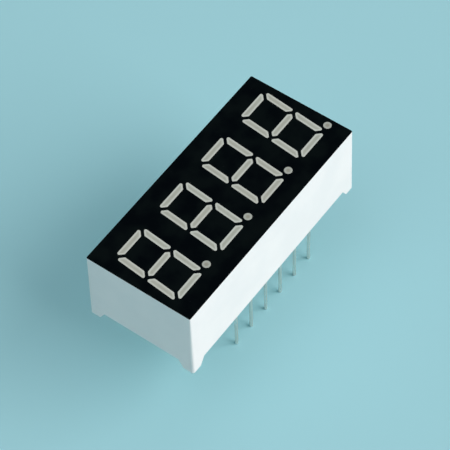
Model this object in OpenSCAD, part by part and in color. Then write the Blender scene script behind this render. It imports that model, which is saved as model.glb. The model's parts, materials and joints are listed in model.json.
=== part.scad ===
// Four-digit seven segment display module with an 8.1 mm character height.
//
// A white reflector housing carries a black printed face. Every segment and
// decimal point is a light bar of milky cast epoxy in a well of its own, with
// an LED chip and its bond wire at the bottom, on a circuit board that is
// potted in from behind. Two rows of round pins leave the back.
//
// The seating plane is the underside of the four corner feet, at z = 0, and
// the origin lies there at the centre of the pin pattern. The digits read
// along +X, their tops point to +Y, and the viewing face looks along +Z.

/* [Body] */
// Distance between the centres of neighbouring digits, a quarter of the body's length
digit_pitch = 6.78; // [6.6:0.01:8]
// Width of the body across the pin rows, at the face
body_width = 12.3; // [12.2:0.1:16]
// Height of the body, from the feet to the viewing face
body_height = 9.3; // [7:0.1:12]
// Thickness of the outer wall around the cavity at the back
wall = 0.45; // [0.4:0.01:0.5]
// Draft angle of the outer walls, which stand further apart towards the feet
draft = 1; // [0:0.25:2]
// Radius of the upright outer corners, at the face
corner_radius = 0.12; // [0.05:0.01:0.3]
// Radius of the upright corners inside the cavity
cavity_radius = 0.4; // [0.3:0.05:1]
// Thickness of the black layer printed on the face
mask_thickness = 0.05; // [0.02:0.01:0.2]

/* [Feet] */
// Height of the four feet below the lower edge of the walls
foot_height = 1; // [0.5:0.05:1.4]
// Width of a foot along each wall, at its tip
foot_width = 1.2; // [0.8:0.1:2.5]
// Extra width of a foot where it runs into the wall
foot_flare = 0.6; // [0.1:0.05:1]

/* [Digits] */
// Height of a digit
digit_height = 8.1; // [7.4:0.1:8.8]
// Width of a digit, measured before it is slanted
digit_width = 4.45; // [4:0.05:4.6]
// Width of a segment's stroke
stroke = 0.7; // [0.66:0.02:1]
// Clear distance between neighbouring segments, across their mitres
segment_gap = 0.35; // [0.15:0.01:0.4]
// How far the mitres beside the middle bar stand in from the outer edge
waist_inset = 0.28; // [0.2:0.01:0.4]
// Angle at which the digits lean to the right
slant = 5; // [0:0.5:10]
// Shift of the digits to the right of the middle of their quarter of the body
digit_shift = 0.03; // [-0.3:0.01:0.1]
// Radius of the sharp tips of the six outer segments
tip_radius = 0.18; // [0.05:0.01:0.2]
// Radius of the blunt corners of all segments and of the middle bar's tips
blunt_radius = 0.11; // [0.05:0.01:0.18]
// Diameter of a decimal point
dot_diameter = 0.85; // [0.75:0.05:1]
// Clear distance between a digit's outer edge and its decimal point
dot_gap = 0.22; // [0.15:0.01:0.25]

/* [Wells] */
// Depth of the straight part of a well, below the face
well_land = 1; // [0.4:0.1:2]
// Length of a well's opening at the board
well_floor_length = 1.4; // [1.3:0.1:2.2]
// Width of a well's opening at the board
well_floor_width = 0.6; // [0.5:0.02:0.64]
// Diameter of a decimal point's well at the board
dot_floor_diameter = 0.68; // [0.64:0.01:0.72]

/* [Board and potting] */
// Thickness of the circuit board
board_thickness = 1; // [0.6:0.1:1.6]
// Clearance between the board's edge and the cavity wall
board_clearance = 0.1; // [0.05:0.01:0.12]
// Depth of the potting under the board
potting_depth = 0.75; // [0.6:0.05:1]
// How far the potting stays below the lower edge of the walls
potting_recess = 0.4; // [0.1:0.05:0.6]
// Height of a solder joint
solder_height = 0.45; // [0.2:0.05:0.5]
// Diameter of a solder joint at the board
solder_diameter = 1; // [0.8:0.05:1.05]
// Diameter of a solder joint at its end
solder_tip_diameter = 0.55; // [0.5:0.05:0.75]

/* [Chips and bond wires] */
// Side of an LED chip
chip_size = 0.25; // [0.2:0.01:0.28]
// Height of an LED chip
chip_height = 0.2; // [0.1:0.01:0.3]
// Distance from the middle of a segment's well to its chip
chip_setback = 0.3; // [0.2:0.05:0.4]
// Distance from a segment's chip to the landing of its bond wire
wire_span = 0.65; // [0.5:0.05:0.8]
// Distance from the middle of a decimal point's well to its chip
dot_chip_setback = 0.12; // [0.1:0.01:0.14]
// Distance from a decimal point's chip to the landing of its bond wire
dot_wire_span = 0.32; // [0.28:0.01:0.34]
// Height of a bond wire's arch above the straight line between its ends
wire_rise = 0.25; // [0.1:0.05:0.4]
// Thickness and width of a bond wire
wire_size = 0.04; // [0.03:0.01:0.05]
// Length of the flat foot at each end of a bond wire
wire_foot = 0.06; // [0.04:0.01:0.08]

/* [Pins] */
// Pins in each of the two rows
pins_per_row = 6; // [4:1:8]
// Distance between neighbouring pins of a row
pin_pitch = 2.54; // [2:0.01:3]
// Places of the pins' grid left empty at the left end of each row
empty_places = 1; // [0:1:2]
// Least distance from the middle of a pin to the edge of the board
pin_edge = 0.5; // [0.5:0.05:1]
// Diameter of a pin
pin_diameter = 0.36; // [0.3:0.02:0.4]
// Diameter of the collar that locks a pin in the potting
collar_diameter = 0.7; // [0.6:0.05:0.8]
// Height of a pin's collar
collar_height = 0.6; // [0.4:0.05:0.65]
// Distance between a pin's collar and its solder joint
collar_gap = 0.1; // [0.05:0.05:0.2]
// Length of a pin below the seating plane
pin_length = 6.7; // [3:0.05:15]
// Chamfer at the end of a pin
pin_chamfer = 0.1; // [0.05:0.01:0.12]

/* [Hidden] */
$fn = 48;
// Largest angle that one facet of a rounded segment corner turns through
arc_step = 15;
// How far a cutting shape runs past the piece that it cuts
cut = 0.2;
digit_count = 4;
pin_count = 2 * pins_per_row;
body_length = digit_count * digit_pitch;
cavity_length = body_length - 2 * wall;
cavity_width = body_width - 2 * wall;
board_length = cavity_length - 2 * board_clearance;
board_width = cavity_width - 2 * board_clearance;
// The grid with its empty places is centred on the body, and the origin on the pins
body_x = -empty_places * pin_pitch / 2;
// The rows stand as many steps of the pins' grid apart as the board has room for
pin_row_spacing = pin_pitch * floor((board_width - 2 * pin_edge) / pin_pitch);

// Levels, from the seating plane up
potting_z = foot_height + potting_recess;
board_z = potting_z + potting_depth;
seat_z = board_z + board_thickness;
collar_end = board_z - solder_height - collar_gap;
collar_z = collar_end - collar_height;
land_z = body_height - well_land;
housing_z = body_height - mask_thickness;

// Half the gap between two segments, measured along the stroke
miter = segment_gap / sqrt(2);
half_width = digit_width / 2;
half_height = digit_height / 2;
// Where the middle bar's tips lie
bar_tip = half_width - waist_inset - miter;
// Where the outer segments' lower and upper ends start, above the middle line
waist_end = miter - waist_inset;
dot_across = half_width + dot_gap + dot_diameter / 2;
dot_down = stroke / 2 - half_height;

segments = ["a", "b", "c", "d", "e", "f", "g"];

function bar_name(digit, s) = str("digit_", digit, "_segment_", s);
function dot_name(digit) = str("digit_", digit, "_decimal_point");
function chips_name(digit) = str("digit_", digit, "_led_chips");
function wires_name(digit) = str("digit_", digit, "_bond_wires");
function pin_name(pin) = str("pin_", pin);

// ---- Outlines ----

function unit(v) = v / norm(v);

// Points of the arc that rounds corner b, between its neighbours a and c
function corner_arc(a, b, c, r) =
    let (
        u = unit(a - b),
        v = unit(c - b),
        half = acos(u * v) / 2,
        turn = 180 - 2 * half,
        centre = b + unit(u + v) * r / sin(half),
        start = b + u * r / tan(half) - centre,
        first = atan2(start.y, start.x),
        steps = ceil(turn / arc_step)
    )
    [for (i = [0 : steps]) centre + r * [cos(first + turn * i / steps), sin(first + turn * i / steps)]];

// A convex outline, given counter-clockwise, with a radius for each corner
function rounded(points, radii) =
    let (n = len(points))
    [for (i = [0 : n - 1]) each corner_arc(points[(i + n - 1) % n], points[i], points[(i + 1) % n], radii[i])];

function mirror_x(points) = [for (i = [len(points) - 1 : -1 : 0]) [-points[i].x, points[i].y]];
function mirror_y(points) = [for (i = [len(points) - 1 : -1 : 0]) [points[i].x, -points[i].y]];
function lean(p) = [p.x + p.y * tan(slant), p.y];

// Rectangle around the origin with round corners
function plate(length, width, r) =
    rounded(
        [[-length, -width] / 2, [length, -width] / 2, [length, width] / 2, [-length, width] / 2],
        [r, r, r, r]);

// Upper bar, with its sharp tips at the top corners
top_bar = rounded(
    [
        [miter + stroke - half_width, half_height - stroke],
        [half_width - stroke - miter, half_height - stroke],
        [half_width - miter, half_height],
        [miter - half_width, half_height]
    ],
    [blunt_radius, blunt_radius, tip_radius, tip_radius]);

// Upper left stroke, between the upper bar and the waist
left_bar = rounded(
    [
        [-half_width, waist_end],
        [stroke - half_width, waist_end + stroke],
        [stroke - half_width, half_height - miter - stroke],
        [-half_width, half_height - miter]
    ],
    [tip_radius, blunt_radius, blunt_radius, tip_radius]);

// Middle bar, a hexagon with its tips on the middle line
middle_bar = rounded(
    [
        [-bar_tip, 0],
        [stroke / 2 - bar_tip, -stroke / 2],
        [bar_tip - stroke / 2, -stroke / 2],
        [bar_tip, 0],
        [bar_tip - stroke / 2, stroke / 2],
        [stroke / 2 - bar_tip, stroke / 2]
    ],
    [for (i = [1 : 6]) blunt_radius]);

// Outline of a segment before it leans
function upright(s) =
    s == "a" ? top_bar
    : s == "b" ? mirror_x(left_bar)
    : s == "c" ? mirror_x(mirror_y(left_bar))
    : s == "d" ? mirror_y(top_bar)
    : s == "e" ? mirror_y(left_bar)
    : s == "f" ? left_bar
    : middle_bar;

// Middle of a segment before it leans
row_y = half_height - stroke / 2;
side_x = half_width - stroke / 2;
side_y = (half_height - waist_inset) / 2;
function middle(s) =
    s == "a" ? [0, row_y]
    : s == "b" ? [side_x, side_y]
    : s == "c" ? [side_x, -side_y]
    : s == "d" ? [0, -row_y]
    : s == "e" ? [-side_x, -side_y]
    : s == "f" ? [-side_x, side_y]
    : [0, 0];

function is_bar(s) = s == "a" || s == "d" || s == "g";

// Direction of a segment's stroke once it leans
function along(s) = is_bar(s) ? 0 : 90 - slant;

// Leaning outline of a segment, seen from its own middle with X along the stroke
function turned(p, angle) = [p.x * cos(angle) + p.y * sin(angle), p.y * cos(angle) - p.x * sin(angle)];
function outline(s) = [for (p = upright(s)) turned(lean(p - middle(s)), along(s))];

// Half the length of a segment along its stroke
function reach(s) =
    s == "g" ? bar_tip
    : is_bar(s) ? half_width - miter
    : (half_height - miter - waist_end) / 2 / cos(slant);

// ---- Placing ----

function digit_x(digit) = body_x + (digit - (digit_count + 1) / 2) * digit_pitch + digit_shift;

// Upright block around the body's middle, between two levels
module block(length, width, r, low, high) {
    translate([body_x, 0, low])
        linear_extrude(height = high - low)
            polygon(plate(length, width, r));
}

// How much further out the outer walls stand at a level than at the face
function spread(z) = (body_height - z) * tan(draft);

// Side view of the outer walls between two levels, for the given width at the face
function walls(width, low, high) = [
    [-width / 2 - spread(low), low],
    [width / 2 + spread(low), low],
    [width / 2 + spread(high), high],
    [-width / 2 - spread(high), high]
];

// The body's outer shape between two levels, with a cone around every upright corner
module body(low, high) {
    length = body_length - 2 * corner_radius;
    width = body_width - 2 * corner_radius;
    translate([body_x, 0, 0]) {
        rotate([90, 0, 0])
            linear_extrude(height = width, center = true)
                polygon(walls(body_length, low, high));
        rotate([90, 0, 90])
            linear_extrude(height = length, center = true)
                polygon(walls(body_width, low, high));
        for (x = [-1, 1], y = [-1, 1])
            translate([x * length / 2, y * width / 2, low])
                cylinder(
                    h = high - low,
                    r1 = corner_radius + spread(low),
                    r2 = corner_radius + spread(high)
                );
    }
}

// The middle of a segment's well, with X along the stroke
module at_segment(digit, s) {
    translate(concat([digit_x(digit), 0] + lean(middle(s)), 0))
        rotate([0, 0, along(s)])
            children();
}

// The middle of a decimal point's well, with X along the face's Y
module at_dot(digit) {
    translate(concat([digit_x(digit), 0] + lean([dot_across, dot_down]), 0))
        rotate([0, 0, 90])
            children();
}

function pin_xy(pin) =
    pin <= pins_per_row
        ? [(pin - (pins_per_row + 1) / 2) * pin_pitch, -pin_row_spacing / 2]
        : [((3 * pins_per_row + 1) / 2 - pin) * pin_pitch, pin_row_spacing / 2];

module at_pin(pin) {
    translate(concat(pin_xy(pin), 0)) children();
}

// ---- Wells ----

// Side view of a well: the slope up from the board, then the straight part
function flank(narrow, wide) =
    let (foot = narrow - (wide - narrow) / (land_z - seat_z) * 2 * cut)
    [
        [-foot, seat_z - 2 * cut],
        [foot, seat_z - 2 * cut],
        [wide, land_z],
        [wide, body_height + 2 * cut],
        [-wide, body_height + 2 * cut],
        [-wide, land_z]
    ];

// Four-sided hopper that gives a well its sloping sides and ends
module hopper(s) {
    long = reach(s) + segment_gap / 4;
    intersection() {
        rotate([90, 0, 0])
            linear_extrude(height = 4 * stroke, center = true)
                polygon(flank(well_floor_length / 2, long));
        rotate([90, 0, 90])
            linear_extrude(height = 4 * long, center = true)
                polygon(flank(well_floor_width / 2, (stroke + segment_gap) / 2));
    }
}

// A segment's well from one level to another
module segment_well(digit, s, low, high) {
    at_segment(digit, s)
        intersection() {
            translate([0, 0, low])
                linear_extrude(height = high - low)
                    polygon(outline(s));
            hopper(s);
        }
}

// Radius of a decimal point's well at a level of its cone
function dot_radius(z) =
    dot_floor_diameter / 2
    + (dot_diameter - dot_floor_diameter) / 2 * (z - seat_z) / (land_z - seat_z);

// A decimal point's well: a cone from the board, then a straight bore
module dot_well(digit, low, high) {
    at_dot(digit)
        rotate_extrude()
            polygon([
                [0, low],
                [dot_radius(low), low],
                [dot_diameter / 2, land_z],
                [dot_diameter / 2, high],
                [0, high]
            ]);
}

module wells() {
    for (digit = [1 : digit_count]) {
        for (s = segments) segment_well(digit, s, seat_z - cut, body_height + cut);
        dot_well(digit, seat_z - cut, body_height + cut);
    }
}

// ---- Housing ----

// The space between the feet along one wall, for a wall of the given length
module foot_gap(length, across) {
    tip = length / 2 + spread(0) - foot_width;
    root = tip - foot_flare;
    run = foot_flare / foot_height * cut;
    rotate([90, 0, 0])
        linear_extrude(height = across + 2 * spread(0) + 2 * cut, center = true)
            polygon([
                [-tip - run, -cut],
                [tip + run, -cut],
                [root, foot_height],
                [-root, foot_height]
            ]);
}

module foot_gaps() {
    translate([body_x, 0, 0]) {
        foot_gap(body_length, body_width);
        rotate([0, 0, 90]) foot_gap(body_width, body_length);
    }
}

module housing() {
    color("white")
        difference() {
            body(0, housing_z);
            block(cavity_length, cavity_width, cavity_radius, -cut, seat_z);
            foot_gaps();
            wells();
        }
}

module face_mask() {
    color([0.04, 0.05, 0.06])
        difference() {
            body(housing_z, body_height);
            wells();
        }
}

// ---- Board, solder and potting ----

module board_blank() {
    block(board_length, board_width, cavity_radius, board_z, seat_z);
}

module pin_holes() {
    for (pin = [1 : pin_count])
        at_pin(pin)
            translate([0, 0, -cut])
                cylinder(d = pin_diameter, h = seat_z + 2 * cut);
}

module collars() {
    for (pin = [1 : pin_count])
        at_pin(pin)
            translate([0, 0, collar_z])
                cylinder(d = collar_diameter, h = collar_height);
}

module circuit_board() {
    color("darkgreen")
        difference() {
            board_blank();
            pin_holes();
        }
}

module solder_cones() {
    for (pin = [1 : pin_count])
        at_pin(pin)
            translate([0, 0, board_z - solder_height])
                cylinder(d1 = solder_tip_diameter, d2 = solder_diameter, h = solder_height);
}

module solder_joints() {
    color("silver")
        difference() {
            solder_cones();
            pin_holes();
        }
}

module back_potting() {
    color("lightgray")
        difference() {
            block(cavity_length, cavity_width, cavity_radius, potting_z, seat_z);
            board_blank();
            solder_cones();
            pin_holes();
            collars();
        }
}

// ---- LED chips and bond wires ----

module chip(setback) {
    translate([-setback - chip_size / 2, -chip_size / 2, seat_z])
        cube([chip_size, chip_size, chip_height]);
}

// Height of a bond wire's underside above the board, at a share u of its span
function arch(u) = chip_height * (1 - u) + 4 * wire_rise * u * (1 - u);

// Bond wire from the chip's top to the board, with a flat foot at each end
module bond_wire(setback, span) {
    steps = 8;
    under = concat(
        [[-setback - wire_foot, chip_height]],
        [for (i = [0 : steps]) [span * i / steps - setback, arch(i / steps)]],
        [[span - setback + wire_foot, 0]]);
    over = [for (i = [len(under) - 1 : -1 : 0]) under[i] + [0, wire_size]];
    translate([0, 0, seat_z])
        rotate([90, 0, 0])
            linear_extrude(height = wire_size, center = true)
                polygon(concat(under, over));
}

module led_chips(digit) {
    color("gold") {
        for (s = segments) at_segment(digit, s) chip(chip_setback);
        at_dot(digit) chip(dot_chip_setback);
    }
}

module bond_wires(digit) {
    color("goldenrod") {
        for (s = segments) at_segment(digit, s) bond_wire(chip_setback, wire_span);
        at_dot(digit) bond_wire(dot_chip_setback, dot_wire_span);
    }
}

// ---- Light bars ----

// A segment's epoxy, cast around its chip and wire
module light_bar(digit, s) {
    color([0.78, 0.77, 0.72])
        difference() {
            segment_well(digit, s, seat_z, body_height);
            at_segment(digit, s) {
                chip(chip_setback);
                bond_wire(chip_setback, wire_span);
            }
        }
}

module decimal_point(digit) {
    color([0.7, 0.69, 0.64])
        difference() {
            dot_well(digit, seat_z, body_height);
            at_dot(digit) {
                chip(dot_chip_setback);
                bond_wire(dot_chip_setback, dot_wire_span);
            }
        }
}

// ---- Pins ----

module pin(number) {
    color("silver")
        at_pin(number)
            rotate_extrude()
                polygon([
                    [0, -pin_length],
                    [pin_diameter / 2 - pin_chamfer, -pin_length],
                    [pin_diameter / 2, pin_chamfer - pin_length],
                    [pin_diameter / 2, collar_z],
                    [collar_diameter / 2, collar_z],
                    [collar_diameter / 2, collar_end],
                    [pin_diameter / 2, collar_end],
                    [pin_diameter / 2, seat_z],
                    [0, seat_z]
                ]);
}

// ---- Assembly ----

housing();
face_mask();
circuit_board();
back_potting();
solder_joints();
for (digit = [1 : digit_count], s = segments)
    light_bar(digit, s);
for (digit = [1 : digit_count])
    decimal_point(digit);
for (digit = [1 : digit_count])
    led_chips(digit);
for (digit = [1 : digit_count])
    bond_wires(digit);
for (number = [1 : pin_count])
    pin(number);
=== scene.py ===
"""Finishes, potting fillet, stage and camera of a four-digit seven segment display module.

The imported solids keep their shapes. Each operator dresses one of them or a group of like
ones, apart from two: one adds the fillet that the potting left when it crept up the walls
and the pins, and one sets up the studio.
"""

import json
import math

import bmesh
import bpy
from bpy.props import FloatProperty, FloatVectorProperty, PointerProperty
from mathutils import Matrix, Vector, noise


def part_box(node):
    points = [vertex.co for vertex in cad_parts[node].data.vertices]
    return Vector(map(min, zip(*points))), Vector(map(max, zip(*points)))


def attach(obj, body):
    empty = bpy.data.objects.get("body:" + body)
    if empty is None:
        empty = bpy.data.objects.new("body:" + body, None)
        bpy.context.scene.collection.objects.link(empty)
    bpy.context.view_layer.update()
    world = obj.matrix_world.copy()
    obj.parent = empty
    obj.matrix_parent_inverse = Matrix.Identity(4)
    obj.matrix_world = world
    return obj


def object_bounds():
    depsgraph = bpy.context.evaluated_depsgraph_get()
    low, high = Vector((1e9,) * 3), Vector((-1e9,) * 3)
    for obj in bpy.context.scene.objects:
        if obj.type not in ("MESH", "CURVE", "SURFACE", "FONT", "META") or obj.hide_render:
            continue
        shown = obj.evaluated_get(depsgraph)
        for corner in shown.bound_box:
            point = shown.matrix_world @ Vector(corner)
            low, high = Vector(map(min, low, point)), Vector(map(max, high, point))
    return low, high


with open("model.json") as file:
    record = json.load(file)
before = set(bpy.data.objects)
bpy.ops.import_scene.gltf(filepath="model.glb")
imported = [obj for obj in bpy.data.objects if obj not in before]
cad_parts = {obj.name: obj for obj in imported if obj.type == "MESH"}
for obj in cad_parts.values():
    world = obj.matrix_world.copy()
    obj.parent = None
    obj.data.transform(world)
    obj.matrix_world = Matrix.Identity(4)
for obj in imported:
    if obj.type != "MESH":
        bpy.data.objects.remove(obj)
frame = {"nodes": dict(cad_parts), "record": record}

bl_info = {
    "name": "Seven Segment Display Finishes",
    "version": (1, 0, 0),
    "blender": (4, 5, 0),
    "location": "View3D > Sidebar > Display",
    "description": "Dresses the solids of a seven segment display module and sets up its studio",
    "category": "Material",
}

MICROMETRE = 1e-6
MILLIMETRE = 1e-3
CAD_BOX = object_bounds()
MATERIALS = {row["slot"]: row for row in frame["record"]["materials"]}

# Noise levels between which a surface goes from its colour to its second tone.
TONE_FROM, TONE_TO = 0.35, 0.65
PATCH_FROM, PATCH_TO = 0.38, 0.62
# Brightness of the board's glass and of a chip's clear grain beside their own colours, and
# how much of the glass shows through the mask.
WEAVE_LEVEL = 1.5
GRAIN_LEVEL = 1.8
WEAVE_SHARE = 0.25

# Rays that average the normals near an edge: few for a soft edge, more for the mask of the painted
# rim light.
EDGE_SAMPLES = 6
RIM_LIGHT_SAMPLES = 16
# Likeness of the averaged normal to the face's own at which the mask of the painted rim light is
# full.
FULL_RIM_LIGHT = 0.94

# Steps of the potting fillet: across a quarter turn of its section, round a corner of the
# cavity, round a pin, and along a straight wall.
SECTION_STEPS = 8
CORNER_STEPS = 6
PIN_STEPS = 36
WALL_STEP = 0.5 * MILLIMETRE
# How far the fillet's back and foot sink into what they lie on.
SUNK = 10 * MICROMETRE
SHARP_ANGLE = math.radians(40)


def nodes_of(slot):
    """Names of the nodes that take their finish from a material slot of the record."""
    return [row["node"] for row in frame["record"]["subparts"] if row["material_slot"] == slot]


def colour_of(slot):
    """The record's base colour of a material slot."""
    return tuple(MATERIALS[slot]["base_color"])


def shaded(tone, factor):
    """A colour times a factor, held within what a surface can have."""
    return [min(1.0, level * factor) for level in tone]


# ---- Settings ----

def colour(name, description, default):
    return FloatVectorProperty(
        name=name, description=description, default=default,
        subtype="COLOR", size=3, min=0.0, max=1.0,
    )


def share(name, description, default):
    return FloatProperty(
        name=name, description=description, default=default, subtype="FACTOR", min=0.0, max=1.0,
    )


def distance(name, description, default):
    return FloatProperty(
        name=name, description=description, default=default,
        unit="LENGTH", subtype="DISTANCE", min=0.0, precision=6,
    )


def offset(name, description, default):
    return FloatProperty(
        name=name, description=description, default=default, unit="LENGTH", precision=6,
    )


def turn(name, description, degrees):
    return FloatProperty(
        name=name, description=description, default=math.radians(degrees),
        unit="ROTATION", subtype="ANGLE",
    )


def direction(name, description, default):
    return FloatVectorProperty(
        name=name, description=description, default=default, subtype="DIRECTION", size=3,
    )


def power(name, description, default):
    return FloatProperty(
        name=name, description=description, default=default, unit="POWER", min=0.0,
    )


class HousingSettings(bpy.types.PropertyGroup):
    """The housing's white plastic."""

    plastic: colour("Plastic", "Colour of the moulded housing", (0.87, 0.88, 0.875))
    flow: colour("Flow marks", "Tone of the broad, faint flow marks", (0.83, 0.85, 0.85))
    roughness: share("Roughness", "Roughness of the satin surface", 0.5)
    grain_size: distance("Grain size", "Size of the spark-eroded grain", 90 * MICROMETRE)
    grain_depth: distance("Grain depth", "Depth of the grain", 2.2 * MICROMETRE)
    edge_radius: distance("Edge radius", "Radius of the softened edges", 70 * MICROMETRE)


class FaceSettings(bpy.types.PropertyGroup):
    """The printed face."""

    ink: colour("Ink", "Colour of the printed ink", (0.0006, 0.0016, 0.0027))
    thin_ink: colour("Thin ink", "Colour where the ink lies thinner", (0.0026, 0.0048, 0.0052))
    roughness: share("Roughness", "Roughness of the matt ink", 0.55)
    dust: colour("Dust", "Colour of the few specks of dust", (0.045, 0.05, 0.055))
    speck_spacing: distance("Speck spacing", "Mean distance between specks", 0.9 * MILLIMETRE)
    speck_core: distance("Speck core", "Radius of a speck's full colour", 10.8 * MICROMETRE)
    speck_reach: distance("Speck reach", "Radius at which a speck ends", 27 * MICROMETRE)


class EpoxySettings(bpy.types.PropertyGroup):
    """The segments and the decimal points."""

    bar: colour("Light bars", "Colour of the segments' diffused epoxy", (0.44, 0.49, 0.43))
    # Painted light: the lighter rim colours of the bars and dots are laid near the white well
    # walls. They stand in for the light those walls throw into the epoxy.
    bar_rim_light: colour("Bar rims", "Colour near the wells' white walls", (0.605, 0.68, 0.63))
    dot: colour("Decimal points", "Colour of the decimal points' epoxy", (0.33, 0.35, 0.295))
    dot_rim_light: colour("Dot rims", "Colour at the decimal points' edges", (0.44, 0.5, 0.46))
    rim_light_width: distance("Rim width", "Width of the lighter rim", 0.55 * MILLIMETRE)
    rim_light_strength: share("Rim strength", "Share of the rim's colour at a well's wall", 0.85)
    roughness: share("Roughness", "Roughness of the cast surface", 0.46)
    cloud_size: distance("Cloud size", "Size of the milky clouds", 0.7 * MILLIMETRE)
    cloud_level: share("Cloud level", "Brightness of a cloud beside the epoxy's", 0.93)
    pour: colour("Pour", "Tint by which the wells differ", (0.42, 0.37, 0.3))
    pour_spread: share("Pour spread", "Largest share of that tint in a well", 0.1)


class BackSettings(bpy.types.PropertyGroup):
    """The board, the chips and the potting."""

    laminate: colour("Laminate", "Colour of the board's solder mask", colour_of("board_laminate"))
    weave: distance("Weave", "Width of the glass weave", 0.9 * MILLIMETRE)
    potting: colour("Potting", "Colour of the potting", colour_of("potting_epoxy"))
    potting_deep: colour("Deep potting", "Colour where it is deeper", (0.68, 0.665, 0.585))
    creep: distance("Creep", "How far the potting crept up the walls", 0.24 * MILLIMETRE)
    pin_creep: share("Creep at the pins", "Creep up a pin, beside that up a wall", 0.7)
    creep_spread: share("Creep spread", "Share by which the creep varies", 0.3)
    creep_wave: distance("Creep wave", "Length over which the creep varies", 1.4 * MILLIMETRE)
    cavity_corner: distance("Cavity corner", "Radius of the cavity's corners", 0.4 * MILLIMETRE)
    die: colour("LED chip", "Colour of an LED chip", colour_of("led_die"))


class MetalSettings(bpy.types.PropertyGroup):
    """The pins, the solder and the bond wires."""

    tin: colour("Tin", "Colour of the tinned pins", (0.94, 0.86, 0.81))
    tin_dark: colour("Dull tin", "Colour of the duller streaks", (0.82, 0.74, 0.68))
    tin_roughness: share("Tin roughness", "Roughness of the tinned pins", 0.34)
    streak_width: distance("Streak width", "Width of a pin's drawing streaks", 45 * MICROMETRE)
    streak_slimness: share("Streak slimness", "Width of a streak over its length", 0.04)
    solder: colour("Solder", "Colour of the solder", colour_of("solder"))
    solder_level: share("Dull solder", "Brightness of duller solder beside the bright", 0.75)
    solder_roughness: share("Solder roughness", "Roughness of the solder", 0.25)
    solder_grain: distance("Solder grain", "Size of the solder's grain", 90 * MICROMETRE)
    wire: colour("Bond wire", "Colour of the drawn bond wires", colour_of("bond_wire"))
    wire_level: share("Dull wire", "Brightness of duller wire beside the bright", 0.85)
    wire_roughness: share("Wire roughness", "Roughness of the bond wires", 0.2)
    wire_grain: distance("Wire grain", "Size of the wire's grain", 11.25 * MICROMETRE)


class StudioSettings(bpy.types.PropertyGroup):
    """The floor, the camera and the lights."""

    floor: colour("Floor", "Colour of the plain, pale floor", (0.38, 0.74, 0.82))
    floor_cloud: share("Floor cloud", "Brightness of the paper's clouds beside its own", 0.985)
    floor_reach: distance("Floor reach", "From the floor's middle to its edges", 3.0)
    azimuth: turn("Azimuth", "Camera's turn about the vertical, from the front", -52.284)
    elevation: turn("Elevation", "Camera's height above the horizon", 54.674)
    roll: turn("Roll", "Camera's turn about its own line of sight", -2.25)
    camera_distance: distance("Camera distance", "From the camera to its target", 0.22548)
    aim_right: offset("Aim right", "Target's place along the body, from its middle", -0.000259)
    aim_up: offset("Aim up", "Target's place across the body, from its middle", -0.000446)
    lens: FloatProperty(
        name="Lens", description="Focal length in millimetres", default=182.86,
        unit="CAMERA", min=1.0,
    )
    lamp_distance: distance("Lamp distance", "From either lamp to the camera's target", 1.5)
    key_power: power("Key power", "Power of the large soft lamp in front", 26.2)
    key_size: distance("Key size", "Width of the lamp in front", 1.6)
    key_tint: colour("Key tint", "Colour of the lamp in front", (1.0, 0.87, 0.84))
    key_from: direction("Key from", "Direction to the lamp in front", (0.35, -0.9, 0.55))
    fill_power: power("Fill power", "Power of the soft lamp over the end", 2.0)
    fill_size: distance("Fill size", "Width of the lamp over the end", 1.2)
    fill_tint: colour("Fill tint", "Colour of the lamp over the end", (1.0, 1.0, 1.0))
    fill_from: direction("Fill from", "Direction to the lamp over the end", (-0.5, 0.2, 0.9))
    ambient: share("Ambient", "Level of the even light from all round", 0.36)
    sky: colour("Sky", "Colour of the even light", (0.95, 0.98, 1.0))
    horizon: share("Horizon", "Level of a sky in view or mirrored, beside the floor's", 0.66)


class DisplaySettings(bpy.types.PropertyGroup):
    """All the module's settings."""

    housing: PointerProperty(type=HousingSettings)
    face: PointerProperty(type=FaceSettings)
    epoxy: PointerProperty(type=EpoxySettings)
    back: PointerProperty(type=BackSettings)
    metal: PointerProperty(type=MetalSettings)
    studio: PointerProperty(type=StudioSettings)


# ---- Node trees ----

class Tree:
    """Adds nodes to a node tree and wires them."""

    def __init__(self, tree):
        self.tree = tree

    def node(self, kind, inputs=None, **settings):
        """A new node. An input is a plain value, or another node's output socket."""
        made = self.tree.nodes.new(kind)
        for name, value in settings.items():
            setattr(made, name, value)
        for name, value in (inputs or {}).items():
            self.feed(made.inputs[name], value)
        return made

    def feed(self, socket, value):
        if isinstance(value, bpy.types.NodeSocket):
            self.tree.links.new(value, socket)
        elif socket.type == "RGBA":
            socket.default_value = (*value[:3], 1.0)
        else:
            socket.default_value = value

    def math(self, operation, first, second, clamp=False):
        terms = {0: first, 1: second}
        made = self.node("ShaderNodeMath", terms, operation=operation, use_clamp=clamp)
        return made.outputs[0]

    def mix(self, factor, low, high):
        """A colour between two. The node's colour sockets follow those of its other modes."""
        made = self.node("ShaderNodeMix", data_type="RGBA", clamp_factor=True)
        self.feed(made.inputs["Factor"], factor)
        self.feed(made.inputs[6], low)
        self.feed(made.inputs[7], high)
        return made.outputs[2]

    def remap(self, value, low, high, to_low=0.0, to_high=1.0):
        """A smooth ramp from to_low to to_high, as the value goes from low to high."""
        made = self.node("ShaderNodeMapRange", {
            "Value": value,
            "From Min": low,
            "From Max": high,
            "To Min": to_low,
            "To Max": to_high,
        }, interpolation_type="SMOOTHSTEP")
        return made.outputs["Result"]

    def place(self):
        """The surface's place in the row frame, in metres."""
        return self.node("ShaderNodeTexCoord").outputs["Object"]

    def noise(self, place, size, detail=2.0, roughness=0.5):
        """Noise from 0 to 1 whose features have the given size in metres."""
        made = self.node("ShaderNodeTexNoise", {
            "Vector": place,
            "Scale": self.math("DIVIDE", 1.0, size),
            "Detail": detail,
            "Roughness": roughness,
        })
        return made.outputs[0]


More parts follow.
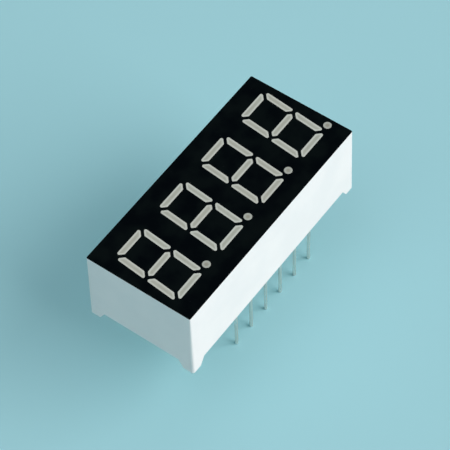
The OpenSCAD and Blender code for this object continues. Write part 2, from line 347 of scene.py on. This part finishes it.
def new_group(name, inputs, outputs):
    """A shader node group: sockets as {name: (socket type, default)}, and its tree."""
    tree = bpy.data.node_groups.new(name, "ShaderNodeTree")
    for label, (kind, default) in inputs.items():
        socket = tree.interface.new_socket(name=label, in_out="INPUT", socket_type=kind)
        socket.default_value = default
    for label, kind in outputs.items():
        tree.interface.new_socket(name=label, in_out="OUTPUT", socket_type=kind)
    graph = Tree(tree)
    given = tree.nodes.new("NodeGroupInput").outputs
    result = tree.nodes.new("NodeGroupOutput").inputs
    return tree, graph, given, result


FLOAT = "NodeSocketFloat"
COLOUR = "NodeSocketColor"
VECTOR = "NodeSocketVector"


def soft_grain_group():
    """Moulded or cast surface: broad tones, a fine grain in relief and gloss, softened edges."""
    name = "Soft Grain"
    if name in bpy.data.node_groups:
        return bpy.data.node_groups[name]
    tree, graph, given, result = new_group(
        name,
        {
            "Color": (COLOUR, (0.8, 0.8, 0.8, 1.0)),
            "Tone": (COLOUR, (0.7, 0.7, 0.7, 1.0)),
            "Tone Size": (FLOAT, 4 * MILLIMETRE),
            "Roughness": (FLOAT, 0.4),
            "Roughness Spread": (FLOAT, 0.1),
            "Grain Size": (FLOAT, 100 * MICROMETRE),
            "Grain Depth": (FLOAT, 2 * MICROMETRE),
            "Edge Radius": (FLOAT, 50 * MICROMETRE),
        },
        {"Color": COLOUR, "Roughness": FLOAT, "Normal": VECTOR},
    )
    place = graph.place()
    cloud = graph.noise(place, given["Tone Size"], detail=3.0)
    tone = graph.remap(cloud, TONE_FROM, TONE_TO)
    grain = graph.noise(place, given["Grain Size"], detail=3.0, roughness=0.6)
    spread = graph.math("MULTIPLY", graph.math("SUBTRACT", grain, 0.5), given["Roughness Spread"])
    edge = graph.node("ShaderNodeBevel", {"Radius": given["Edge Radius"]}, samples=EDGE_SAMPLES)
    relief = graph.node("ShaderNodeBump", {
        "Height": grain,
        "Strength": 1.0,
        "Distance": given["Grain Depth"],
        "Normal": edge.outputs[0],
    })
    graph.feed(result["Color"], graph.mix(tone, given["Color"], given["Tone"]))
    graph.feed(result["Roughness"], graph.math("ADD", given["Roughness"], spread, clamp=True))
    graph.feed(result["Normal"], relief.outputs[0])
    return tree


def rim_light_group():
    """Mask that is 1 at a piece's edges and falls to 0 over the given width; it places the painted
    rim light.
    """
    name = "Rim Mask"
    if name in bpy.data.node_groups:
        return bpy.data.node_groups[name]
    tree, graph, given, result = new_group(
        name, {"Width": (FLOAT, 100 * MICROMETRE)}, {"Mask": FLOAT})
    edge = graph.node("ShaderNodeBevel", {"Radius": given["Width"]}, samples=RIM_LIGHT_SAMPLES)
    flat = graph.node("ShaderNodeNewGeometry").outputs["Normal"]
    normals = {0: edge.outputs[0], 1: flat}
    likeness = graph.node("ShaderNodeVectorMath", normals, operation="DOT_PRODUCT")
    graph.feed(result["Mask"], graph.remap(likeness.outputs["Value"], 1.0, FULL_RIM_LIGHT))
    return tree


def drawn_metal_group():
    """Metal with fine streaks along its length and dull patches."""
    name = "Drawn Metal"
    if name in bpy.data.node_groups:
        return bpy.data.node_groups[name]
    tree, graph, given, result = new_group(
        name,
        {
            "Color": (COLOUR, (0.6, 0.6, 0.6, 1.0)),
            "Dull Color": (COLOUR, (0.4, 0.4, 0.4, 1.0)),
            "Streak Width": (FLOAT, 50 * MICROMETRE),
            "Streak Slimness": (FLOAT, 0.05),
            "Patch Size": (FLOAT, 1 * MILLIMETRE),
            "Roughness": (FLOAT, 0.3),
            "Roughness Spread": (FLOAT, 0.1),
            "Depth": (FLOAT, 1 * MICROMETRE),
        },
        {"Color": COLOUR, "Roughness": FLOAT, "Normal": VECTOR},
    )
    place = graph.place()
    slim = graph.node("ShaderNodeCombineXYZ", {"X": 1.0, "Y": 1.0, "Z": given["Streak Slimness"]})
    along = {0: place, 1: slim.outputs[0]}
    drawn = graph.node("ShaderNodeVectorMath", along, operation="MULTIPLY").outputs[0]
    streak = graph.noise(drawn, given["Streak Width"])
    blotch = graph.noise(place, given["Patch Size"], detail=3.0)
    patch = graph.remap(blotch, PATCH_FROM, PATCH_TO)
    dull = graph.math("MULTIPLY", graph.math("ADD", streak, patch), 0.5)
    rough = graph.math("MULTIPLY", graph.math("SUBTRACT", dull, 0.5), given["Roughness Spread"])
    relief = graph.node(
        "ShaderNodeBump", {"Height": streak, "Strength": 1.0, "Distance": given["Depth"]})
    graph.feed(result["Color"], graph.mix(dull, given["Color"], given["Dull Color"]))
    graph.feed(result["Roughness"], graph.math("ADD", given["Roughness"], rough, clamp=True))
    graph.feed(result["Normal"], relief.outputs[0])
    return tree


def new_material(name):
    """An empty material with a Principled BSDF: the material, its graph and the shader."""
    material = bpy.data.materials.new(name)
    material.use_nodes = True
    material.node_tree.nodes.clear()
    graph = Tree(material.node_tree)
    shader = graph.node("ShaderNodeBsdfPrincipled")
    graph.node("ShaderNodeOutputMaterial", {"Surface": shader.outputs[0]})
    return material, graph, shader


def place_group(graph, tree, values):
    """A node group in a material, with its own values."""
    return graph.node("ShaderNodeGroup", values, node_tree=tree).outputs


def wear(material, slot):
    """Gives a material to every solid of one material slot of the record."""
    for name in nodes_of(slot):
        mesh = frame["nodes"][name].data
        mesh.materials.clear()
        mesh.materials.append(material)


# ---- Materials ----

def moulded_plastic(settings):
    """White satin plastic of the reflector housing."""
    material, graph, shader = new_material("Moulded White Plastic")
    grain = place_group(graph, soft_grain_group(), {
        "Color": settings.plastic,
        "Tone": settings.flow,
        "Tone Size": 5 * MILLIMETRE,
        "Roughness": settings.roughness,
        "Roughness Spread": 0.12,
        "Grain Size": settings.grain_size,
        "Grain Depth": settings.grain_depth,
        "Edge Radius": settings.edge_radius,
    })
    shader.inputs["Specular IOR Level"].default_value = 0.3
    graph.feed(shader.inputs["Base Color"], grain["Color"])
    graph.feed(shader.inputs["Roughness"], grain["Roughness"])
    graph.feed(shader.inputs["Normal"], grain["Normal"])
    return material


def printed_ink(settings):
    """Matt black ink with a few specks of dust."""
    material, graph, shader = new_material("Printed Black Ink")
    grain = place_group(graph, soft_grain_group(), {
        "Color": settings.ink,
        "Tone": settings.thin_ink,
        "Tone Size": 2.4 * MILLIMETRE,
        "Roughness": settings.roughness,
        "Roughness Spread": 0.2,
        "Grain Size": 60 * MICROMETRE,
        "Grain Depth": 3 * MICROMETRE,
        "Edge Radius": 15 * MICROMETRE,
    })
    cells = graph.node("ShaderNodeTexVoronoi", {
        "Vector": graph.place(),
        "Scale": 1.0 / settings.speck_spacing,
        "Randomness": 1.0,
    })
    core = settings.speck_core / settings.speck_spacing
    reach = settings.speck_reach / settings.speck_spacing
    speck = graph.remap(cells.outputs["Distance"], core, reach, 1.0, 0.0)
    shader.inputs["Specular IOR Level"].default_value = 0.02
    graph.feed(shader.inputs["Base Color"], graph.mix(speck, grain["Color"], settings.dust))
    graph.feed(shader.inputs["Roughness"], grain["Roughness"])
    graph.feed(shader.inputs["Normal"], grain["Normal"])
    return material


def diffused_epoxy(name, core, rim_light_colour, settings):
    """Milky epoxy: cloudy, a little different in each well, and lighter near the well's white walls
    by painted light.
    """
    material, graph, shader = new_material(name)
    grain = place_group(graph, soft_grain_group(), {
        "Color": core,
        "Tone": shaded(core, settings.cloud_level),
        "Tone Size": settings.cloud_size,
        "Roughness": settings.roughness,
        "Roughness Spread": 0.1,
        "Grain Size": 150 * MICROMETRE,
        "Grain Depth": 1.2 * MICROMETRE,
        "Edge Radius": 30 * MICROMETRE,
    })
    # Painted light: near the well's white walls the colour turns to the lighter rim colour, as if
    # those walls lit the epoxy.
    rim = place_group(graph, rim_light_group(), {"Width": settings.rim_light_width})["Mask"]
    strength = graph.math("MULTIPLY", rim, settings.rim_light_strength)
    lit = graph.mix(strength, grain["Color"], rim_light_colour)
    well = graph.node("ShaderNodeObjectInfo").outputs["Random"]
    shade = graph.remap(well, 0.0, 1.0, 0.0, settings.pour_spread)
    shader.inputs["Specular IOR Level"].default_value = 0.16
    graph.feed(shader.inputs["Base Color"], graph.mix(shade, lit, settings.pour))
    graph.feed(shader.inputs["Roughness"], grain["Roughness"])
    graph.feed(shader.inputs["Normal"], grain["Normal"])
    return material


def cast_potting(settings):
    """Slightly yellow epoxy that closes the back."""
    material, graph, shader = new_material("Cast Potting")
    grain = place_group(graph, soft_grain_group(), {
        "Color": settings.potting,
        "Tone": settings.potting_deep,
        "Tone Size": 3.5 * MILLIMETRE,
        "Roughness": 0.22,
        "Roughness Spread": 0.1,
        "Grain Size": 0.5 * MILLIMETRE,
        "Grain Depth": 6 * MICROMETRE,
        "Edge Radius": 60 * MICROMETRE,
    })
    shader.inputs["Specular IOR Level"].default_value = 0.5
    graph.feed(shader.inputs["Base Color"], grain["Color"])
    graph.feed(shader.inputs["Roughness"], grain["Roughness"])
    graph.feed(shader.inputs["Normal"], grain["Normal"])
    return material


def board_laminate(settings):
    """Green solder mask with the glass weave showing through."""
    material, graph, shader = new_material("Board Laminate")
    weave = graph.node("ShaderNodeTexWave", {
        "Vector": graph.place(),
        "Scale": 1.0 / settings.weave,
        "Distortion": 0.6,
    }, bands_direction="DIAGONAL")
    pale = shaded(settings.laminate, WEAVE_LEVEL)
    grain = place_group(graph, soft_grain_group(), {
        "Color": settings.laminate,
        "Tone": pale,
        "Tone Size": 0.8 * MILLIMETRE,
        "Roughness": 0.3,
        "Roughness Spread": 0.1,
        "Grain Size": 80 * MICROMETRE,
        "Grain Depth": 1 * MICROMETRE,
        "Edge Radius": 20 * MICROMETRE,
    })
    woven = graph.math("MULTIPLY", weave.outputs["Fac"], WEAVE_SHARE)
    graph.feed(shader.inputs["Base Color"], graph.mix(woven, grain["Color"], pale))
    graph.feed(shader.inputs["Roughness"], grain["Roughness"])
    graph.feed(shader.inputs["Normal"], grain["Normal"])
    return material


def led_die(settings):
    """Amber crystal of an LED chip."""
    material, graph, shader = new_material("LED Die")
    grain = place_group(graph, soft_grain_group(), {
        "Color": settings.die,
        "Tone": shaded(settings.die, GRAIN_LEVEL),
        "Tone Size": 80 * MICROMETRE,
        "Roughness": 0.25,
        "Roughness Spread": 0.15,
        "Grain Size": 20 * MICROMETRE,
        "Grain Depth": 1 * MICROMETRE,
        "Edge Radius": 8 * MICROMETRE,
    })
    graph.feed(shader.inputs["Base Color"], grain["Color"])
    graph.feed(shader.inputs["Roughness"], grain["Roughness"])
    graph.feed(shader.inputs["Normal"], grain["Normal"])
    return material


def bright_metal(name, tone, dull, roughness, streak_width, slimness=1.0):
    """Bright metal with dull patches, and with streaks where the slimness is under 1."""
    material, graph, shader = new_material(name)
    metal = place_group(graph, drawn_metal_group(), {
        "Color": tone,
        "Dull Color": dull,
        "Streak Width": streak_width,
        "Streak Slimness": slimness,
        "Patch Size": 2.2 * MILLIMETRE,
        "Roughness": roughness,
        "Roughness Spread": 0.25,
        "Depth": 0.35 * MICROMETRE,
    })
    shader.inputs["Metallic"].default_value = 1.0
    graph.feed(shader.inputs["Base Color"], metal["Color"])
    graph.feed(shader.inputs["Roughness"], metal["Roughness"])
    graph.feed(shader.inputs["Normal"], metal["Normal"])
    return material


# ---- Potting fillet ----

def fan(first, sweep, steps):
    """Level unit vectors at even steps of a sweep, with both its ends."""
    headings = [first + sweep * step / steps for step in range(steps + 1)]
    return [Vector((math.cos(heading), math.sin(heading))) for heading in headings]


def round_pin(centre, radius):
    """Places round a pin, each with the direction in to its axis."""
    return [(centre + radius * out, -out) for out in fan(0.0, math.tau, PIN_STEPS)[:-1]]


def round_cavity(low, high, radius):
    """Places round the cavity's walls, each with the direction out to its wall."""
    middles = (
        Vector((high.x - radius, high.y - radius)),
        Vector((low.x + radius, high.y - radius)),
        Vector((low.x + radius, low.y + radius)),
        Vector((high.x - radius, low.y + radius)),
    )
    quarter = math.tau / 4
    corners = []
    for count, middle in enumerate(middles):
        turned = fan(quarter * count, quarter, CORNER_STEPS)
        corners += [(middle + radius * out, out) for out in turned]
    walk = []
    for (place, out), (following, _) in zip(corners, corners[1:] + corners[:1]):
        steps = max(1, round((following - place).length / WALL_STEP))
        walk += [(place.lerp(following, step / steps), out) for step in range(steps)]
    return walk


def fillet_section(rise):
    """A fillet's closed outline: distances from the wall and down from the surface above it."""
    hollow = fan(0.0, math.tau / 4, SECTION_STEPS)
    curve = [(rise * (1.0 - turned.y), rise * (1.0 - turned.x)) for turned in hollow]
    return [(-SUNK, rise), (-SUNK, -SUNK), (rise, -SUNK), *curve]


def add_fillet(mesh, walk, level, creep, settings):
    """A closed strip with a hollow face, between an upright wall and the surface above it."""
    rows = []
    for place, to_wall in walk:
        uneven = noise.noise((place / settings.creep_wave).to_3d())
        rise = creep * (1.0 + settings.creep_spread * uneven)
        section = fillet_section(rise)
        row = [mesh.verts.new((*(place - to_wall * away), level - down)) for away, down in section]
        rows.append(row)
    for row, following in zip(rows, rows[1:] + rows[:1]):
        for start in range(len(row)):
            end = (start + 1) % len(row)
            mesh.faces.new((row[start], row[end], following[end], following[start]))


# ---- Operators ----

class DISPLAY_OT_dress_housing(bpy.types.Operator):
    """Give the housing its white satin plastic"""

    bl_idname = "display.dress_housing"
    bl_label = "Dress Housing"

    def execute(self, context):
        wear(moulded_plastic(context.scene.segment_display.housing), "housing_white")
        return {"FINISHED"}


class DISPLAY_OT_dress_face(bpy.types.Operator):
    """Give the printed face its matt black ink"""

    bl_idname = "display.dress_face"
    bl_label = "Dress Face"

    def execute(self, context):
        wear(printed_ink(context.scene.segment_display.face), "face_ink")
        return {"FINISHED"}


class DISPLAY_OT_dress_light_bars(bpy.types.Operator):
    """Give the 28 segments their milky epoxy"""

    bl_idname = "display.dress_light_bars"
    bl_label = "Dress Light Bars"

    def execute(self, context):
        epoxy = context.scene.segment_display.epoxy
        wear(diffused_epoxy("Segment Epoxy", epoxy.bar, epoxy.bar_rim_light, epoxy), "segment_epoxy")
        return {"FINISHED"}


class DISPLAY_OT_dress_decimal_points(bpy.types.Operator):
    """Give the four decimal points their milky epoxy"""

    bl_idname = "display.dress_decimal_points"
    bl_label = "Dress Decimal Points"

    def execute(self, context):
        epoxy = context.scene.segment_display.epoxy
        wear(diffused_epoxy("Dot Epoxy", epoxy.dot, epoxy.dot_rim_light, epoxy), "dot_epoxy")
        return {"FINISHED"}


class DISPLAY_OT_dress_back(bpy.types.Operator):
    """Give the circuit board, the LED chips and the potting their finishes"""

    bl_idname = "display.dress_back"
    bl_label = "Dress Back"

    def execute(self, context):
        back = context.scene.segment_display.back
        wear(board_laminate(back), "board_laminate")
        wear(led_die(back), "led_die")
        wear(cast_potting(back), "potting_epoxy")
        return {"FINISHED"}


class DISPLAY_OT_add_potting_fillet(bpy.types.Operator):
    """Add the fillet of potting along the cavity's walls and round every pin"""

    bl_idname = "display.add_potting_fillet"
    bl_label = "Add Potting Fillet"

    def execute(self, context):
        back = context.scene.segment_display.back
        low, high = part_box("back_potting")
        built = bmesh.new()
        along_walls = round_cavity(low, high, back.cavity_corner)
        add_fillet(built, along_walls, low.z, back.creep, back)
        for name in nodes_of("tinned_pin"):
            start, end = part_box(name)
            collar_radius = (end.x - start.x) / 2
            along_collar = round_pin(((start + end) / 2).to_2d(), collar_radius)
            add_fillet(built, along_collar, low.z, back.pin_creep * back.creep, back)
        bmesh.ops.recalc_face_normals(built, faces=built.faces)
        mesh = bpy.data.meshes.new("potting_fillet")
        built.to_mesh(mesh)
        built.free()
        mesh.polygons.foreach_set("use_smooth", [True] * len(mesh.polygons))
        mesh.set_sharp_from_angle(angle=SHARP_ANGLE)
        mesh.materials.append(frame["nodes"]["back_potting"].data.materials[0])
        fillet = bpy.data.objects.new("potting_fillet", mesh)
        context.scene.collection.objects.link(fillet)
        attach(fillet, "root")
        return {"FINISHED"}


class DISPLAY_OT_dress_metal(bpy.types.Operator):
    """Give the pins, the solder joints and the bond wires their metals"""

    bl_idname = "display.dress_metal"
    bl_label = "Dress Metal"

    def execute(self, context):
        metal = context.scene.segment_display.metal
        dull_solder = shaded(metal.solder, metal.solder_level)
        dull_wire = shaded(metal.wire, metal.wire_level)
        pins = bright_metal(
            "Tinned Pins", metal.tin, metal.tin_dark, metal.tin_roughness,
            metal.streak_width, metal.streak_slimness)
        joints = bright_metal(
            "Solder", metal.solder, dull_solder, metal.solder_roughness, metal.solder_grain)
        wires = bright_metal(
            "Bond Wires", metal.wire, dull_wire, metal.wire_roughness, metal.wire_grain)
        wear(pins, "tinned_pin")
        wear(joints, "solder")
        wear(wires, "bond_wire")
        return {"FINISHED"}


def line_of_sight(azimuth, elevation):
    """Unit vector from the target to a viewer: azimuth 0 stands in front, at -Y."""
    level = math.cos(elevation)
    return Vector((math.sin(azimuth) * level, -math.cos(azimuth) * level, math.sin(elevation)))


def add_floor(studio, level):
    """A wide plain floor of paper, clear when it is seen from below."""
    mesh = bpy.data.meshes.new("studio_floor")
    reach = studio.floor_reach
    signs = ((-1, -1), (1, -1), (1, 1), (-1, 1))
    corners = [(x * reach, y * reach, level) for x, y in signs]
    mesh.from_pydata(corners, [], [(0, 1, 2, 3)])
    floor = bpy.data.objects.new("studio_floor", mesh)
    bpy.context.scene.collection.objects.link(floor)
    material, graph, shader = new_material("Studio Paper")
    grain = place_group(graph, soft_grain_group(), {
        "Color": studio.floor,
        "Tone": shaded(studio.floor, studio.floor_cloud),
        "Tone Size": 40 * MILLIMETRE,
        "Roughness": 0.9,
        "Roughness Spread": 0.05,
        "Grain Size": 0.6 * MILLIMETRE,
        "Grain Depth": 4 * MICROMETRE,
        "Edge Radius": 0.0,
    })
    shader.inputs["Specular IOR Level"].default_value = 0.1
    graph.feed(shader.inputs["Base Color"], grain["Color"])
    graph.feed(shader.inputs["Roughness"], grain["Roughness"])
    below = graph.node("ShaderNodeNewGeometry").outputs["Backfacing"]
    clear = graph.node("ShaderNodeBsdfTransparent").outputs[0]
    sides = {0: below, 1: shader.outputs[0], 2: clear}
    paper = graph.node("ShaderNodeMixShader", sides).outputs[0]
    graph.feed(material.node_tree.get_output_node("ALL").inputs["Surface"], paper)
    mesh.materials.append(material)


def add_softbox(name, target, heading, reach, size, energy, tint):
    """A square soft lamp that faces the target from the given direction."""
    lamp = bpy.data.lights.new(name, "AREA")
    lamp.color = tint
    lamp.shape = "SQUARE"
    lamp.size = size
    lamp.energy = energy
    rig = bpy.data.objects.new(name, lamp)
    away = Vector(heading).normalized()
    rig.location = target + away * reach
    rig.rotation_euler = away.to_track_quat("Z", "Y").to_euler()
    bpy.context.scene.collection.objects.link(rig)


def add_lamps(studio, target):
    """One large lamp in front, and a weaker one over the end."""
    reach = studio.lamp_distance
    add_softbox(
        "key_lamp", target, studio.key_from, reach, studio.key_size,
        studio.key_power, studio.key_tint)
    add_softbox(
        "fill_lamp", target, studio.fill_from, reach, studio.fill_size,
        studio.fill_power, studio.fill_tint)


def add_world(studio):
    """Even light from all round, and the floor's own tone wherever the sky shows or is mirrored."""
    world = bpy.data.worlds.new("studio_world")
    bpy.context.scene.world = world
    world.use_nodes = True
    world.node_tree.nodes.clear()
    graph = Tree(world.node_tree)
    rays = graph.node("ShaderNodeLightPath").outputs
    mirrored = graph.math("MAXIMUM", rays["Is Glossy Ray"], rays["Is Transmission Ray"])
    shown = graph.math("MAXIMUM", rays["Is Camera Ray"], mirrored)
    seen = graph.node("ShaderNodeBackground", {"Color": studio.floor, "Strength": studio.horizon})
    lit = graph.node("ShaderNodeBackground", {"Color": studio.sky, "Strength": studio.ambient})
    blend = graph.node("ShaderNodeMixShader", {0: shown, 1: lit.outputs[0], 2: seen.outputs[0]})
    graph.node("ShaderNodeOutputWorld", {"Surface": blend.outputs[0]})


def add_camera(studio, target):
    """The camera, turned about its line of sight by the roll."""
    away = line_of_sight(studio.azimuth, studio.elevation)
    level = Vector((0.0, 0.0, 1.0)).cross(away).normalized()
    upright = away.cross(level)
    right = math.cos(studio.roll) * level + math.sin(studio.roll) * upright
    up = away.cross(right)
    camera = bpy.data.objects.new("studio_camera", bpy.data.cameras.new("studio_camera"))
    camera.data.lens = studio.lens
    camera.data.clip_start = 10 * MILLIMETRE
    place = target + away * studio.camera_distance
    facing = Matrix((right, up, away)).transposed().to_4x4()
    camera.matrix_world = Matrix.Translation(place) @ facing
    bpy.context.scene.collection.objects.link(camera)
    bpy.context.scene.camera = camera


class DISPLAY_OT_build_studio(bpy.types.Operator):
    """Set up the floor, the soft lamps, the even light and the camera"""

    bl_idname = "display.build_studio"
    bl_label = "Build Studio"

    def execute(self, context):
        studio = context.scene.segment_display.studio
        low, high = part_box("housing")
        target = (low + high) / 2 + Vector((studio.aim_right, studio.aim_up, 0.0))
        floor_level = CAD_BOX[0][2]
        add_floor(studio, floor_level)
        add_lamps(studio, target)
        add_world(studio)
        add_camera(studio, target)
        context.scene.view_settings.view_transform = "Standard"
        return {"FINISHED"}


STEPS = (
    DISPLAY_OT_dress_housing,
    DISPLAY_OT_dress_face,
    DISPLAY_OT_dress_light_bars,
    DISPLAY_OT_dress_decimal_points,
    DISPLAY_OT_dress_back,
    DISPLAY_OT_add_potting_fillet,
    DISPLAY_OT_dress_metal,
    DISPLAY_OT_build_studio,
)


class DISPLAY_PT_finishes(bpy.types.Panel):
    """Lists the display's operators"""

    bl_label = "Display"
    bl_idname = "DISPLAY_PT_finishes"
    bl_space_type = "VIEW_3D"
    bl_region_type = "UI"
    bl_category = "Display"

    def draw(self, context):
        for step in STEPS:
            self.layout.operator(step.bl_idname)


CLASSES = (
    HousingSettings,
    FaceSettings,
    EpoxySettings,
    BackSettings,
    MetalSettings,
    StudioSettings,
    DisplaySettings,
    *STEPS,
    DISPLAY_PT_finishes,
)


def register():
    for entry in CLASSES:
        bpy.utils.register_class(entry)
    bpy.types.Scene.segment_display = PointerProperty(type=DisplaySettings)


def unregister():
    del bpy.types.Scene.segment_display
    for entry in reversed(CLASSES):
        bpy.utils.unregister_class(entry)


def main():
    register()
    bpy.ops.display.dress_housing()
    bpy.ops.display.dress_face()
    bpy.ops.display.dress_light_bars()
    bpy.ops.display.dress_decimal_points()
    bpy.ops.display.dress_back()
    bpy.ops.display.add_potting_fillet()
    bpy.ops.display.dress_metal()
    bpy.ops.display.build_studio()


if __name__ == "__main__":
    main()
